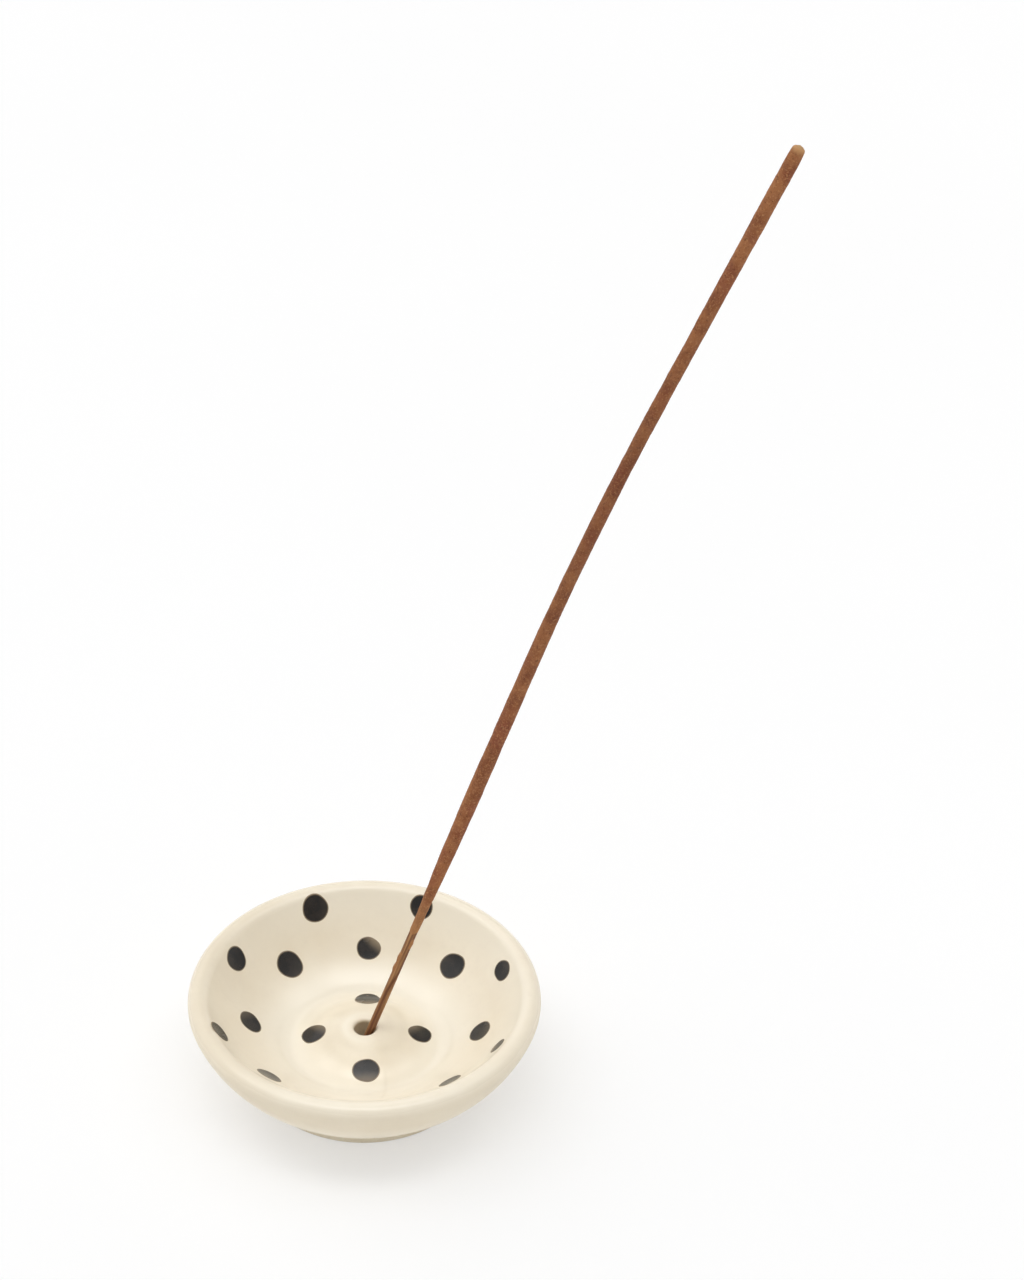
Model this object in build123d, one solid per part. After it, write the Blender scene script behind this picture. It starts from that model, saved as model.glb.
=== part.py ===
from build123d import *
from math import acos, asin, cos, degrees, pi, radians, sin, sqrt
import os

# A small thrown bowl with a mound and a socket in the middle, which holds one leaning incense stick.
# The frame: origin at the middle of the foot, +Z up, the stick leans towards +X. All in millimetres.

# Bowl, outside
bowl_diameter = 76.0
bowl_height = 22.0
lip_thickness = 5.0
outer_wall_lean = 19.5  # degrees from upright where the wall leaves the lip
foot_share = 0.645  # width of the foot, as a share of the bowl's
foot_height = 3.1  # upright side of the foot, below the wall
foot_edge_radius = 0.6

# Bowl, inside: a round dish, a hollow ring and a round cap, each running into the next
dish_floor = 3.64  # above the foot, as if the dish had no mound
valley_radius = 7.0
cap_radius = 28.0
mound_top = 11.25  # above the foot, as if the mound had no socket

# Socket in the mound
socket_bore = 4.6
socket_edge_radius = 0.8
socket_collar = 1.2  # depth of the straight part, above the part that narrows
socket_depth = 6.8

# Coats on the clay
glaze_thickness = 0.4
glaze_line = 2.0  # height above the foot where the glaze stops
paint_thickness = 0.2

# Painted dots: one ring on the mound, two on the dish, placed by hand and so a little uneven
dot_diameter = 5.5
mound_ring_share = 0.73  # radius of the ring on the mound, as a share of the valley's
lower_ring_share = 0.663  # radii of the rings on the dish, as shares of the bowl's
upper_ring_share = 0.834
mound_ring_angles = (2, 87, 178, 271)
lower_ring_angles = (42, 88, 131, 178, 221.5, 267, 312, 353)
upper_ring_angles = (18, 67, 110, 153, 198.5, 245, 290, 333)
mound_ring_shares = (1.04, 1.02, 0.97, 0.98)  # each dot's distance from the axis, as a share of the ring's
lower_ring_shares = (1.03, 0.98, 1.0, 0.98, 1.07, 1.0, 1.06, 0.99)
upper_ring_shares = (0.99, 1.02, 1.01, 0.99, 1.02, 1.0, 0.99, 0.99)
mound_size_shares = (1.02, 1.07, 1.05, 1.06)  # each dot's own width, as a share of the dot's diameter
lower_size_shares = (1.13, 1.02, 1.16, 1.03, 1.08, 1.05, 0.98, 1.03)
upper_size_shares = (0.92, 1.0, 1.14, 1.1, 1.0, 1.03, 1.03, 0.85)

# Incense stick: a straight lower run, a slight bend and a straight upper run
stick_lean = 18.25  # degrees from upright in the lower run
lower_run_length = 105.0
bend_radius = 880.0
bend_angle = 4.57
upper_run_length = 55.0
core_diameter = 1.75
stick_clearance = 0.1  # between the stick and the socket that it stands in

# Paste on the stick, measured along it from its lower end
bare_length = 35.5
paste_taper_length = 27.0
paste_edge_thickness = 0.12
paste_shoulder_diameter = 3.2
paste_diameter = 2.75
paste_tip_radius = 0.4

# Sizes that follow
bowl_radius = bowl_diameter / 2
foot_radius = bowl_radius * foot_share
lip_radius = lip_thickness / 2
bore_radius = socket_bore / 2
core_radius = core_diameter / 2
dot_radius = dot_diameter / 2

# Lip: a round bead. The outer wall and the dish both run into it without a corner.
lip_centre = (bowl_radius - lip_radius, bowl_height - lip_radius)
lean = radians(outer_wall_lean)
right_angle = pi / 2

# Outer wall: an arc from the lip down to the top of the foot's upright side
wall_top = (lip_centre[0] + lip_radius * cos(lean), lip_centre[1] - lip_radius * sin(lean))
wall_run = wall_top[0] - foot_radius
wall_rise = wall_top[1] - foot_height
outer_wall_radius = (wall_run**2 + wall_rise**2) / (2 * (wall_run * cos(lean) - wall_rise * sin(lean)))
wall_to_lip = outer_wall_radius - lip_radius
wall_centre = (lip_centre[0] - wall_to_lip * cos(lean), lip_centre[1] + wall_to_lip * sin(lean))

# Dish: part of a ball that touches the lip and would be deepest on the axis
dish_drop = lip_centre[1] - dish_floor
dish_radius = (lip_centre[0] ** 2 + dish_drop**2 - lip_radius**2) / (2 * (dish_drop + lip_radius))
dish_centre_height = dish_floor + dish_radius
dish_to_lip = dish_radius + lip_radius
lip_slope = asin(lip_centre[0] / dish_to_lip)

# Valley: a ring that touches the dish on its outside and the cap of the mound on its inside
cap_centre_height = mound_top - cap_radius
valley_to_dish = dish_radius - valley_radius
valley_to_cap = cap_radius + valley_radius
centre_rise = dish_centre_height - cap_centre_height
valley_rise = (valley_to_cap**2 - valley_to_dish**2 + centre_rise**2) / (2 * centre_rise)
valley_centre = (sqrt(valley_to_cap**2 - valley_rise**2), cap_centre_height + valley_rise)
dish_foot_slope = asin(valley_centre[0] / valley_to_dish)
flank_slope = asin(valley_centre[0] / valley_to_cap)

# Mouth of the socket: the bore is upright, and its edge is rounded into the cap
mouth_reach = bore_radius + socket_edge_radius
mouth_slope = asin(mouth_reach / (cap_radius - socket_edge_radius))
mouth_rise = (cap_radius - socket_edge_radius) * cos(mouth_slope)
mouth_centre = (mouth_reach, cap_centre_height + mouth_rise)
collar_end = mouth_centre[1] - socket_collar

# Seat of the stick: it stands on the socket's floor and leans on the rounded mouth
stick_tilt = radians(stick_lean)
along = (sin(stick_tilt), cos(stick_tilt))
axis_gap = socket_edge_radius + stick_clearance + core_radius
rest_point = (mouth_centre[0] - axis_gap * along[1], mouth_centre[1] + axis_gap * along[0])
socket_floor = mound_top - socket_depth
heel_height = socket_floor + stick_clearance + core_radius * along[0]
heel_run = (rest_point[1] - heel_height) / along[1]
heel = (rest_point[0] - heel_run * along[0], heel_height)
floor_radius = core_radius * along[1] - heel[0] + stick_clearance

# A cut or a cutter reaches this far past what it meets
overrun = lip_thickness / 2


def pot_section(depth=0):
    """Half section of the pot from its axis outwards, all but the foot's face drawn in by a depth."""
    foot = foot_radius - depth
    wall = outer_wall_radius - depth
    foot_reach = foot - wall_centre[0]
    foot_top = wall_centre[1] - sqrt(wall**2 - foot_reach**2)
    bore = bore_radius + depth
    floor = socket_floor - depth
    with BuildSketch(Plane.XZ) as section:
        with BuildLine():
            Polyline((0, floor), (0, 0), (foot, 0), (foot, foot_top))
            arc(wall_centre, wall, -acos(foot_reach / wall), -lean)
            arc(lip_centre, lip_radius - depth, -lean, lip_slope + right_angle)
            arc(
                (0, dish_centre_height),
                dish_radius + depth,
                lip_slope - right_angle,
                dish_foot_slope - right_angle,
            )
            arc(
                valley_centre,
                valley_radius + depth,
                dish_foot_slope - right_angle,
                -flank_slope - right_angle,
            )
            arc(
                (0, cap_centre_height),
                cap_radius - depth,
                right_angle - flank_slope,
                right_angle - mouth_slope,
            )
            arc(mouth_centre, socket_edge_radius - depth, right_angle - mouth_slope, 2 * right_angle)
            Polyline(
                (bore, mouth_centre[1]), (bore, collar_end), (floor_radius + depth, floor), (0, floor)
            )
        make_face()
        foot_corner = section.vertices().sort_by_distance(Vector(foot, 0))[0]
        fillet(foot_corner, foot_edge_radius)
    return section.sketch


def arc(centre, radius, start, end):
    """An arc from one angle to another, both in radians."""
    return CenterArc(centre, radius, degrees(start), degrees(end - start))


def clay_section(section):
    """The pot without its glaze, with the bare foot at its full size."""
    corner = Plane.XZ * Location((0, -overrun))
    below_line = corner * Rectangle(
        bowl_radius + overrun, glaze_line + overrun, align=(Align.MIN, Align.MIN)
    )
    return pot_section(glaze_thickness) + (section & below_line)


def inner_place(radius):
    """Height and slope, in radians, of the inside of the bowl at a distance from its axis."""
    if radius < cap_radius * sin(flank_slope):
        slope = -asin(radius / cap_radius)
        return cap_centre_height + cap_radius * cos(slope), slope
    if radius < dish_radius * sin(dish_foot_slope):
        slope = asin((radius - valley_centre[0]) / valley_radius)
        return valley_centre[1] - valley_radius * cos(slope), slope
    slope = asin(radius / dish_radius)
    return dish_centre_height - dish_radius * cos(slope), slope


def dot_cutter(radius, angle, size):
    """A short rod through one dot, square to the surface there."""
    height, slope = inner_place(radius)
    square = Plane(origin=(radius, 0, height), z_dir=(-sin(slope), 0, cos(slope)))
    return Rotation(0, 0, angle) * (square * Cylinder(size, 2 * overrun))


def painted_dots(section):
    """Every dot: the part of a thin skin on the inside that its cutter takes out."""
    skin = revolve(section - pot_section(paint_thickness), Axis.Z)
    rings = (
        (valley_centre[0] * mound_ring_share, mound_ring_shares, mound_size_shares, mound_ring_angles),
        (bowl_radius * lower_ring_share, lower_ring_shares, lower_size_shares, lower_ring_angles),
        (bowl_radius * upper_ring_share, upper_ring_shares, upper_size_shares, upper_ring_angles),
    )
    dots = []
    for radius, shares, sizes, angles in rings:
        for share, size, angle in zip(shares, sizes, angles):
            dots.append(skin & dot_cutter(radius * share, angle, dot_radius * size))
    return dots


def stick_path():
    """The stick's centre line, as its lower run, its bend and its upper run."""
    lower_end = (heel[0] + lower_run_length * along[0], heel[1] + lower_run_length * along[1])
    lower = Plane.XZ * Line(heel, lower_end)
    bend = Plane.XZ * JernArc(lower_end, along, bend_radius, -bend_angle)
    upper = Line(bend @ 1, bend @ 1 + (bend % 1) * upper_run_length)
    return lower, bend, upper


def rod(path, radius):
    """A round rod along one line or arc."""
    start = Plane(origin=path @ 0, z_dir=path % 0)
    return sweep(start * Circle(radius), path)


def cone(path, start_share, end_share, start_radius, end_radius):
    """A cone along a stretch of a straight run."""
    first, last = path @ start_share, path @ end_share
    foot_plane = Plane(origin=first, z_dir=path % 0)
    length = (last - first).length
    return foot_plane * Cone(
        start_radius, end_radius, length, align=(Align.CENTER, Align.CENTER, Align.MIN)
    )


def bamboo_core(lower, bend, upper):
    """The splint, square-cut at both ends."""
    return rod(lower, core_radius) + rod(bend, core_radius) + rod(upper, core_radius)


def incense_paste(lower, bend, upper, core):
    """The paste: a long taper, a full shoulder, then a slimmer even coat up to a rounded tip."""
    paste_radius = paste_diameter / 2
    shoulder_radius = paste_shoulder_diameter / 2
    edge_radius = core_radius + paste_edge_thickness
    bare_share = bare_length / lower_run_length
    shoulder_share = (bare_length + paste_taper_length) / lower_run_length
    taper = cone(lower, bare_share, shoulder_share, edge_radius, shoulder_radius)
    shoulder = cone(lower, shoulder_share, 1, shoulder_radius, paste_radius)
    top = rod(upper, paste_radius)
    tip = top.edges().filter_by(GeomType.CIRCLE).sort_by_distance(upper @ 1)[0]
    return taper + shoulder + rod(bend, paste_radius) + fillet(tip, paste_tip_radius) - core


def main():
    section = pot_section()
    clay = clay_section(section)
    dots = painted_dots(section)
    path = stick_path()
    core = bamboo_core(*path)
    nodes = {
        "clay_body": revolve(clay, Axis.Z),
        "glaze_coat": revolve(section - clay, Axis.Z) - dots,
        "painted_dots": Compound(children=dots),
        "bamboo_core": core,
        "incense_paste": incense_paste(*path, core),
    }
    os.makedirs("parts", exist_ok=True)
    for name, shape in nodes.items():
        export_step(shape, f"parts/{name}.step")


main()
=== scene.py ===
from math import acos, asin, atan2, ceil, cos, exp, hypot, pi, radians, sin, sqrt

import bmesh
import bpy
from mathutils import Matrix, Vector, noise


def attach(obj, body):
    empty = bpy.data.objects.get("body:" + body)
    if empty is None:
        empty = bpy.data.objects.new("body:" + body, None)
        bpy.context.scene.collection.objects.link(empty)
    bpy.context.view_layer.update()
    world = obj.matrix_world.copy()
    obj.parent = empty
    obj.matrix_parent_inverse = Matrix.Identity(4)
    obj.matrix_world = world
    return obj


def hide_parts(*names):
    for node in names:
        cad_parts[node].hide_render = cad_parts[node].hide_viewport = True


# A leaning incense stick in a small dotted bowl. Lengths are in metres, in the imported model's frame.
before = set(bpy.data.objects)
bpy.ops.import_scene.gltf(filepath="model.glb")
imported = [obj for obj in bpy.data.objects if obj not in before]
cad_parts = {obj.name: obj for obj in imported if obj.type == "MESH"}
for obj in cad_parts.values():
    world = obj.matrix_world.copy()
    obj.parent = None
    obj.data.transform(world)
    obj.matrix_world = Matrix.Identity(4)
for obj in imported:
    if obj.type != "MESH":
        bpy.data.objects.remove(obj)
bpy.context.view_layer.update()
scene = bpy.context.scene
mm = 0.001
right_angle = pi / 2
full_turn = 2 * pi

# Pot, as in the solids
bowl_radius = 38.0 * mm
bowl_height = 22.0 * mm
lip_radius = 2.5 * mm
wall_lean = radians(19.5)
foot_share = 0.645
foot_height = 3.1 * mm
foot_edge_radius = 0.6 * mm
dish_floor = 3.64 * mm
valley_radius = 7.0 * mm
cap_radius = 28.0 * mm
mound_top = 11.25 * mm
bore_radius = 2.3 * mm
mouth_edge_radius = 0.8 * mm
collar_depth = 1.2 * mm
socket_depth = 6.8 * mm
socket_floor_radius = 1.497 * mm
glaze_thickness = 0.4 * mm
glaze_line = 2.0 * mm

# Hand work on the pot: marks that go into its surface, and a low bead inside the bowl, round the mouth
turned_segments = 240
fine_spacing = 0.5 * mm
hidden_spacing = 2.0 * mm
surface_inset = 0.02 * mm
wobble_depth = 0.14 * mm
wobble_waves = ((2, 0.3, 0.9), (3, 0.2, 2.2))  # waves round the bowl: number, share and start
throwing_pitch = 3.3 * mm
throwing_depth = 0.025 * mm
throwing_uneven_share = 0.4
throwing_start = 1.1  # radians
ring_radii = (17.3 * mm, 21.6 * mm, 27.4 * mm)
ring_depths = (0.06 * mm, 0.015 * mm, 0.015 * mm)
ring_ovals = (1.4 * mm, 0.4 * mm, 0.3 * mm)
ring_width = 0.55 * mm
valley_dip_radius = 16.3 * mm
valley_dip_width = 1.6 * mm
valley_dip_depth = 0.25 * mm
swirl_arms = 2
swirl_pitch = 3.8 * mm
swirl_depth = 0.045 * mm
swirl_noise_reach = 2
mouth_bead_radius = 4.3 * mm
mouth_bead_width = 0.9 * mm
mouth_bead_height = 0.03 * mm
wall_line_pitch = 2.4 * mm
wall_line_depth = 0.012 * mm
glaze_edge_wave = 0.18 * mm
glaze_edge_noise = (4, 0.7)  # reach and height of the noise along the edge
foot_groove_pitch = 1.9 * mm
foot_groove_depth = 0.06 * mm

# Soft darker patches inside the bowl: partly where the glaze lies thicker, partly painted shade, as on
# the mound's right front
patch_radii = (9.0 * mm, 8.5 * mm, 8.0 * mm, 30.0 * mm, 29.0 * mm)
patch_angles = (radians(322), radians(40), radians(205), radians(165), radians(125))
patch_widths = (5.0 * mm, 3.5 * mm, 4.5 * mm, 8.0 * mm, 8.0 * mm)
patch_tones = (0.27, 0.15, 0.22, 0.2, 0.2)

# A faint run in the glaze, down the front of the mound
run_angles = (radians(292), radians(277))
run_radii = (11.0 * mm, 22.5 * mm)
run_width = 0.45 * mm
run_fade_shares = (0.2, 0.3)

# Where the glaze is painted paler, as painted light: over the hollow ring, in a highlight band at its
# back, under the lip at the back and right, and low outside
hollow_light_start = 9.2 * mm
hollow_light_end = 14.0 * mm
back_highlight_radius = 19.0 * mm
back_highlight_width = 3.0 * mm
lit_side_angle = radians(45)
wall_low_light_height = 10.0 * mm
wall_shade_height = 16.0 * mm

# Sides of the bowl on which light and shade are painted, as the sine or cosine at which each begins and
# is full
lit_side_fade = (-0.4, 0.6)
back_highlight_fade = (-0.2, 0.6)
front_light_fade = (0.5, 1.0)
left_shade_fade = (0.0, 1.0)

# Tones of the glaze: how far it goes to its darker or to its paler colour. The darker colour stands for
# thicker glaze and for painted shade, the paler one for thinner glaze and for painted light.
glaze_noise_reach = 9
crease_tone = 0.4
run_tone = 0.4
swirl_tone = 0.18
bead_glaze_and_highlight_tone = 0.6
hollow_light_tone = 0.5
back_highlight_tone = 0.4
brow_light_tone = 0.6
lip_left_shade_tone = 0.3
lip_front_light_tone = 0.4
lip_crest_light_tone = 0.3
lip_outside_shade_tone = 0.2
wall_shade_tone = 0.2
wall_patch_shade_tone = 0.15
wall_low_light_tone = 0.4
foot_tone = 0.35

# Gloss of the coats: how they refract, and roughness added outside and on the lip's inner slope
glaze_ior = 1.52
paint_ior = 1.46
outside_dullness = 0.35
slope_dullness = 0.09

# Painted dots: one ring on the mound and two on the dish. Angles and turns are in degrees.
dot_segments = 48
dot_radius = 2.75 * mm
paint_lift = 0.03 * mm
paint_sink = 0.05 * mm
mound_ring_radius = 11.5 * mm
lower_ring_radius = 25.2 * mm
upper_ring_radius = 31.7 * mm
mound_ring_angles = (2, 87, 178, 271)
lower_ring_angles = (42, 88, 131, 178, 221.5, 267, 312, 353)
upper_ring_angles = (18, 67, 110, 153, 198.5, 245, 290, 333)
mound_ring_shares = (1.04, 1.02, 0.97, 0.98)
lower_ring_shares = (1.03, 0.98, 1.0, 0.98, 1.07, 1.0, 1.06, 0.99)
upper_ring_shares = (0.99, 1.02, 1.01, 0.99, 1.02, 1.0, 0.99, 0.99)
mound_size_shares = (1.02, 1.15, 1.05, 1.06)
lower_size_shares = (1.13, 0.99, 1.16, 1.03, 1.08, 1.05, 0.98, 1.03)
upper_size_shares = (0.9, 1.0, 1.14, 1.04, 1.0, 1.03, 1.03, 0.75)
mound_sheen_turns = (135, 180, 225, 0)  # the paler side of each dot, 0 is outwards: a painted reflection on these mound dots, thin paint on the others
lower_thin_turns = (90, 318, 200, 315, 0, 120, 60, 0)
upper_thin_turns = (0, 140, 250, 90, 180, 0, 300, 180)
mound_sheen_shares = (0.35, 0.5, 0.4, 0.35)
lower_thin_shares = (0.03, 0.6, 0.04, 0.2, 0.05, 0.05, 0.05, 0.12)
upper_thin_shares = (0.06, 0.03, 0.04, 0.05, 0.04, 0.04, 0.05, 0.7)
dot_ring_shares = (0.25, 0.5, 0.75, 0.85, 0.89, 0.93, 0.97, 1.0)
rim_share = 0.87

# Outlines of the dots: the way in which each is longest, by which share, and the waves of the brush
oval_share = 0.03
oval_turn = -49  # from one dot to the next
# Dots that are more oval, by number: the turn, 0 is outwards, and the share
odd_ovals = {1: (33, 0.09), 2: (0, 0.08), 3: (-33, 0.05), 4: (90, 0.05), 9: (0, 0.1), 13: (90, 0.07)}
brush_waves = ((3, 0.022, 2.9), (5, 0.008, 4.3))  # number, share and start, which grows with each dot

# Stick, as in the solids
stick_lean = radians(18.25)
heel = (-0.566 * mm, 4.824 * mm)
lower_run_length = 105.0 * mm
bend_radius = 880.0 * mm
bend_angle = radians(4.57)
upper_run_length = 55.0 * mm
core_radius = 0.875 * mm
paste_radius = 1.375 * mm
bare_length = 35.5 * mm

# Bamboo: a split splint, square with rounded corners and grooved by its fibres
splint_power = 3.2
splint_turn = radians(38)
fibre_depth = 0.03 * mm
fibre_noise_reach = 9
splint_segments = 48
splint_spacing = 0.4 * mm
splint_chamfer = 0.12 * mm
splint_tip_round = 0.55 * mm
skin_turns = (radians(238), radians(325))
skin_twist = (17.0 * mm, 26.0 * mm)
skin_reach = 0.5  # radians round the splint

# Paste: its radius along the stick, its lumps, its tip, its tones and its crumbs
paste_station_shares = (
    0.100, 0.146, 0.160, 0.183, 0.198, 0.226, 0.261, 0.287, 0.330, 0.391, 0.478, 0.543, 0.609, 0.700,
    0.826, 0.891, 0.939, 0.985, 1.000,
)
paste_radius_shares = (
    0.545, 0.600, 0.690, 0.726, 0.840, 0.975, 1.090, 1.150, 1.170, 1.120, 1.075, 1.025, 0.995, 0.970,
    0.960, 0.980, 1.010, 1.000, 0.900,
)
paste_start = 23.0 * mm
paste_segments = 44
paste_spacing = 0.3 * mm
lump_scales = (7.0 * mm, 1.9 * mm, 0.55 * mm)
lump_depths = (0.055 * mm, 0.04 * mm, 0.028 * mm)
ragged_depth = 0.07 * mm
tip_round = 0.65 * mm
tip_dip = 0.25 * mm
round_shares = (0.3, 0.6, 0.85, 1.0)
thin_end = 50.0 * mm
thin_paleness = 0.45
deep_middle = 150.0 * mm
deep_reach = 45.0 * mm
deepness = 0.35
crumb_distances = (24.2 * mm, 27.2 * mm, 31.6 * mm)
crumb_angles = (radians(185), radians(195), radians(320))
crumb_heights = (0.34 * mm, 0.36 * mm, 0.22 * mm)
crumb_length = 1.3 * mm
crumb_reach = 0.6  # radians round the splint

# Colours, as a screen shows them
cream = (247, 236, 214)
warm_cream = (243, 231, 208)
mottled_cream = (238, 226, 205)
thick_and_shaded_cream = (214, 199, 170)
thin_and_lit_cream = (253, 245, 227)
paint_black = (24, 22, 19)
paint_brown = (40, 34, 29)
paint_thin_and_sheen = (176, 156, 128)
clay_pale = (251, 241, 219)
clay_buff = (245, 233, 209)
clay_sand = (206, 187, 158)
fibre_brown = (122, 79, 46)
fibre_pale = (180, 132, 86)
streak_brown = (100, 58, 32)
skin_brown = (108, 62, 34)
cut_pale = (188, 146, 98)
paste_tan = (162, 104, 62)
paste_brown = (132, 77, 44)
paste_red = (136, 71, 48)
paste_sand = (186, 131, 84)
paste_dark = (88, 48, 27)
paste_deep = (100, 55, 32)
paste_pale = (190, 142, 94)
floor_white = (254, 254, 254)
floor_pale = (253, 253, 253)

# Noise in colour and gloss: scale per metre, detail, roughness, low and high end, least and most
glaze_clouds = (70.0, 4.0, 0.55, 0.32, 0.68, 0.0, 1.0)
glaze_mottle = (650.0, 5.0, 0.65, 0.45, 0.75, 0.0, 0.35)
glaze_gloss = (160.0, 3.0, 0.55, 0.3, 0.7, 0.1, 0.17)
paint_strokes = (420.0, 4.0, 0.6, 0.35, 0.75, 0.0, 1.0)
paint_gloss = (160.0, 3.0, 0.55, 0.3, 0.7, 0.2, 0.28)
clay_clouds = (120.0, 4.0, 0.55, 0.3, 0.7, 0.0, 1.0)
clay_specks = (2600.0, 2.0, 0.7, 0.62, 0.74, 0.0, 0.8)
clay_gloss = (900.0, 2.0, 0.55, 0.3, 0.7, 0.78, 0.95)
paste_patches = (210.0, 4.0, 0.6, 0.36, 0.66, 0.0, 1.0)
paste_blush = (95.0, 3.0, 0.55, 0.5, 0.7, 0.0, 0.6)
paste_dust = (2400.0, 3.0, 0.7, 0.5, 0.68, 0.0, 0.8)
paste_pits = (1700.0, 3.0, 0.7, 0.56, 0.7, 0.0, 0.75)
paste_gloss = (900.0, 2.0, 0.55, 0.3, 0.7, 0.82, 0.97)
floor_clouds = (3.0, 2.0, 0.55, 0.3, 0.7, 0.0, 1.0)

# Noise in the relief: scale per metre, detail, roughness, strength and height
glaze_peel = (380.0, 2.0, 0.55, 0.08, 0.1 * mm)
clay_grit = (3200.0, 3.0, 0.7, 0.35, 0.08 * mm)
paste_coarse = (900.0, 4.0, 0.7, 0.45, 0.12 * mm)
paste_fine = (3800.0, 3.0, 0.7, 0.5, 0.06 * mm)

# Noise along the bamboo: scales per metre, across and along. The rest is as above, in parts.
fibre_scales = (2600.0, 2600.0, 70.0)
fibre_noise = (1.0, 4.0, 0.65)
fibre_tones = (0.36, 0.64, 0.0, 1.0)
fibre_gloss = (0.3, 0.7, 0.55, 0.8)
fibre_relief = (0.5, 0.06 * mm)
streak_scales = (900.0, 900.0, 45.0)
streak_noise = (1.0, 2.0, 0.5)
streak_tones = (0.5, 0.66, 0.0, 0.8)

# Camera and stage
camera_place = (0.0, -498.39 * mm, 464.87 * mm)
camera_dip = radians(35.151)
camera_yaw = radians(3.369)
camera_roll = radians(1.716)
camera_lens = 86.82  # lens and sensor are in millimetres
camera_sensor = 36.0
floor_size = 12.0
floor_gap = 0.05 * mm
floor_glow_share = 0.45
key_azimuth = radians(137)
key_height = radians(48)
key_width = radians(70)
key_energy = 0.62
key_distance = 2.0

# Studio: soft glows on a quiet dome. A glow has a middle, a reach to each side of it and a level.
studio_level = 0.55
strip_middle = (0.0, -0.1, 1.0)
strip_reach = (0.75, 0.28, 1.0)
strip_level = 3.3
side_middle = (0.52, 0.2, 0.83)
side_reach = (0.3, 0.3, 0.4)
side_level = 1.5
glow_core = 0.1  # share of the reach over which a glow is even
skyline_height = 0.1  # sine of the height up to which the world looks white
skyline_end = 0.3  # and from which it looks as it lights

# Sizes that follow
foot_radius = bowl_radius * foot_share
lip_centre = (bowl_radius - lip_radius, bowl_height - lip_radius)
wall_top = (lip_centre[0] + lip_radius * cos(wall_lean), lip_centre[1] - lip_radius * sin(wall_lean))
wall_run = wall_top[0] - foot_radius
wall_rise = wall_top[1] - foot_height
wall_reach = wall_run * cos(wall_lean) - wall_rise * sin(wall_lean)
wall_radius = (wall_run**2 + wall_rise**2) / (2 * wall_reach)
wall_to_lip = wall_radius - lip_radius
wall_centre = (
    lip_centre[0] - wall_to_lip * cos(wall_lean),
    lip_centre[1] + wall_to_lip * sin(wall_lean),
)
dish_drop = lip_centre[1] - dish_floor
dish_radius = (lip_centre[0] ** 2 + dish_drop**2 - lip_radius**2) / (2 * (dish_drop + lip_radius))
dish_centre_height = dish_floor + dish_radius
lip_slope = asin(lip_centre[0] / (dish_radius + lip_radius))
dish_edge_radius = dish_radius * sin(lip_slope)
cap_centre_height = mound_top - cap_radius
valley_to_dish = dish_radius - valley_radius
valley_to_cap = cap_radius + valley_radius
centre_rise = dish_centre_height - cap_centre_height
valley_rise = (valley_to_cap**2 - valley_to_dish**2 + centre_rise**2) / (2 * centre_rise)
valley_centre = (sqrt(valley_to_cap**2 - valley_rise**2), cap_centre_height + valley_rise)
dish_foot_slope = asin(valley_centre[0] / valley_to_dish)
flank_slope = asin(valley_centre[0] / valley_to_cap)
mouth_reach = bore_radius + mouth_edge_radius
mouth_slope = asin(mouth_reach / (cap_radius - mouth_edge_radius))
mouth_centre = (
    mouth_reach,
    cap_centre_height + (cap_radius - mouth_edge_radius) * cos(mouth_slope),
)
mouth_top = mouth_centre[1] + mouth_edge_radius * cos(mouth_slope)
collar_end = mouth_centre[1] - collar_depth
socket_floor = mound_top - socket_depth
glaze_roll = glaze_thickness / 3
bend_length = bend_radius * bend_angle
stick_length = lower_run_length + bend_length + upper_run_length
full_coat = bare_length + paste_start / 2
hidden_step = paste_start / 3
tip_reach = paste_start / 4


# Small helpers

def linear(red, green, blue):
    """A colour as a screen shows it, from 0 to 255, for a shader."""
    values = []
    for level in (red, green, blue):
        share = level / 255
        values.append(share / 12.92 if share <= 0.04045 else ((share + 0.055) / 1.055) ** 2.4)
    return (*values, 1.0)


def smooth(low, high, value):
    """0 below low, 1 above high, and a soft step between."""
    share = min(1.0, max(0.0, (value - low) / (high - low)))
    return share * share * (3 - 2 * share)


def mixed(first, second, share):
    return first + (second - first) * share


def bell(offset, width):
    """1 at no offset, with a soft fade over a width to both sides."""
    return exp(-((offset / width) ** 2))


def wave(turn):
    """A wave from 0 to 1."""
    return 0.5 + 0.5 * sin(turn)


def round_noise(angle, reach, height):
    """Soft noise round an axis, from about 0 to 1. A wider reach has more of it."""
    return 0.5 + 0.5 * noise.noise((reach * cos(angle), reach * sin(angle), height))


def lumps(point, scale):
    """Soft noise of a size, from about -1 to 1."""
    return noise.noise(Vector(point) / scale)


def along_table(stations, values, place):
    """A smooth run through a table of values."""
    for index in range(len(stations) - 1):
        if place <= stations[index + 1]:
            share = smooth(stations[index], stations[index + 1], place)
            return mixed(values[index], values[index + 1], share)
    return values[-1]


def add_piece(name, vertices, faces, material, body, node):
    """A smooth mesh that rides on a body and stands for a node."""
    mesh = bpy.data.meshes.new(name)
    mesh.from_pydata(vertices, [], faces)
    work = bmesh.new()
    work.from_mesh(mesh)
    bmesh.ops.recalc_face_normals(work, faces=work.faces)
    for face in work.faces:
        face.smooth = True
    work.to_mesh(mesh)
    work.free()
    mesh.materials.append(material)
    piece = bpy.data.objects.new(name, mesh)
    scene.collection.objects.link(piece)
    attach(piece, body)
    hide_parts(node)
    return piece


def add_values(piece, name, values):
    """One number at each vertex, for a shader to read."""
    attribute = piece.data.attributes.new(name, "FLOAT", "POINT")
    attribute.data.foreach_set("value", values)


def add_vectors(piece, name, vectors):
    """One vector at each vertex, for a shader to read."""
    attribute = piece.data.attributes.new(name, "FLOAT_VECTOR", "POINT")
    attribute.data.foreach_set("vector", [number for vector in vectors for number in vector])


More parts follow.
